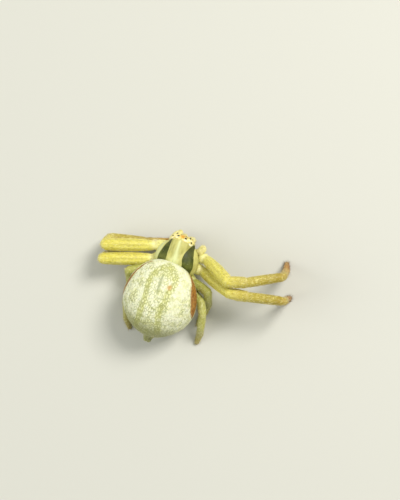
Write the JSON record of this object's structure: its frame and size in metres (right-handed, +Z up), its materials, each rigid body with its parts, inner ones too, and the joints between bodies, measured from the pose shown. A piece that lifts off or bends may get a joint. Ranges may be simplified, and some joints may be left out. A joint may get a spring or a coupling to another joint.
{
  "type": "crab spider",
  "caption": "Life-size female flower crab spider, pale green-yellow, with a large cream abdomen, resting with its right front legs raised and its left ones folded",
  "frame": {"origin": "on the floor, in the middle of the small flat where the belly rests, under the abdomen", "axes": "+Z up, head toward -Y, the spider's left toward +X; the raised right front legs reach toward -X"},
  "size_m": [0.0145, 0.009, 0.0044],
  "materials": {
    "abdomen": "soft satin skin, cream white with yellow-green mottling and red-brown side stripes",
    "carapace": "satin cuticle, pale yellow-green with dark olive side bands and a cream eye field",
    "mouthparts": "satin cuticle, pale yellow",
    "long_legs": "satin cuticle, pale yellow, slightly see-through",
    "long_leg_ends": "satin cuticle, orange-brown",
    "short_legs": "satin cuticle, pale greenish yellow",
    "eyes": "wet gloss",
    "bristles": "fine hairs and spines, brown on the front legs and pale elsewhere"
  },
  "bodies": {
    "root": {"cephalothorax": "carapace", "abdomen": "abdomen", "pedicel": "short_legs", "chelicera_left": "mouthparts", "chelicera_right": "mouthparts", "pedipalp_left": "mouthparts", "pedipalp_right": "mouthparts", "eye_front_middle_left": "eyes", "eye_front_middle_right": "eyes", "eye_front_side_left": "eyes", "eye_front_side_right": "eyes", "eye_rear_middle_left": "eyes", "eye_rear_middle_right": "eyes", "eye_rear_side_left": "eyes", "eye_rear_side_right": "eyes", "leg_1_left_coxa": "long_legs", "leg_1_left_femur": "long_legs", "leg_1_left_patella": "long_legs", "leg_1_left_tibia": "long_legs", "leg_1_left_metatarsus": "long_leg_ends", "leg_1_left_tarsus": "long_leg_ends", "leg_1_right_coxa": "long_legs", "leg_1_right_femur": "long_legs", "leg_1_right_patella": "long_legs", "leg_1_right_tibia": "long_legs", "leg_1_right_metatarsus": "long_leg_ends", "leg_1_right_tarsus": "long_leg_ends", "leg_2_left_coxa": "long_legs", "leg_2_left_femur": "long_legs", "leg_2_left_patella": "long_legs", "leg_2_left_tibia": "long_legs", "leg_2_left_metatarsus": "long_leg_ends", "leg_2_left_tarsus": "long_leg_ends", "leg_2_right_coxa": "long_legs", "leg_2_right_femur": "long_legs", "leg_2_right_patella": "long_legs", "leg_2_right_tibia": "long_legs", "leg_2_right_metatarsus": "long_leg_ends", "leg_2_right_tarsus": "long_leg_ends", "leg_3_left_coxa": "short_legs", "leg_3_left_femur": "short_legs", "leg_3_left_patella": "short_legs", "leg_3_left_tibia": "short_legs", "leg_3_left_foot": "short_legs", "leg_3_right_coxa": "short_legs", "leg_3_right_femur": "short_legs", "leg_3_right_patella": "short_legs", "leg_3_right_tibia": "short_legs", "leg_3_right_foot": "short_legs", "leg_4_left_coxa": "short_legs", "leg_4_left_femur": "short_legs", "leg_4_left_patella": "short_legs", "leg_4_left_tibia": "short_legs", "leg_4_left_foot": "short_legs", "leg_4_right_coxa": "short_legs", "leg_4_right_femur": "short_legs", "leg_4_right_patella": "short_legs", "leg_4_right_tibia": "short_legs", "leg_4_right_foot": "short_legs"}
  },
  "joints": []
}
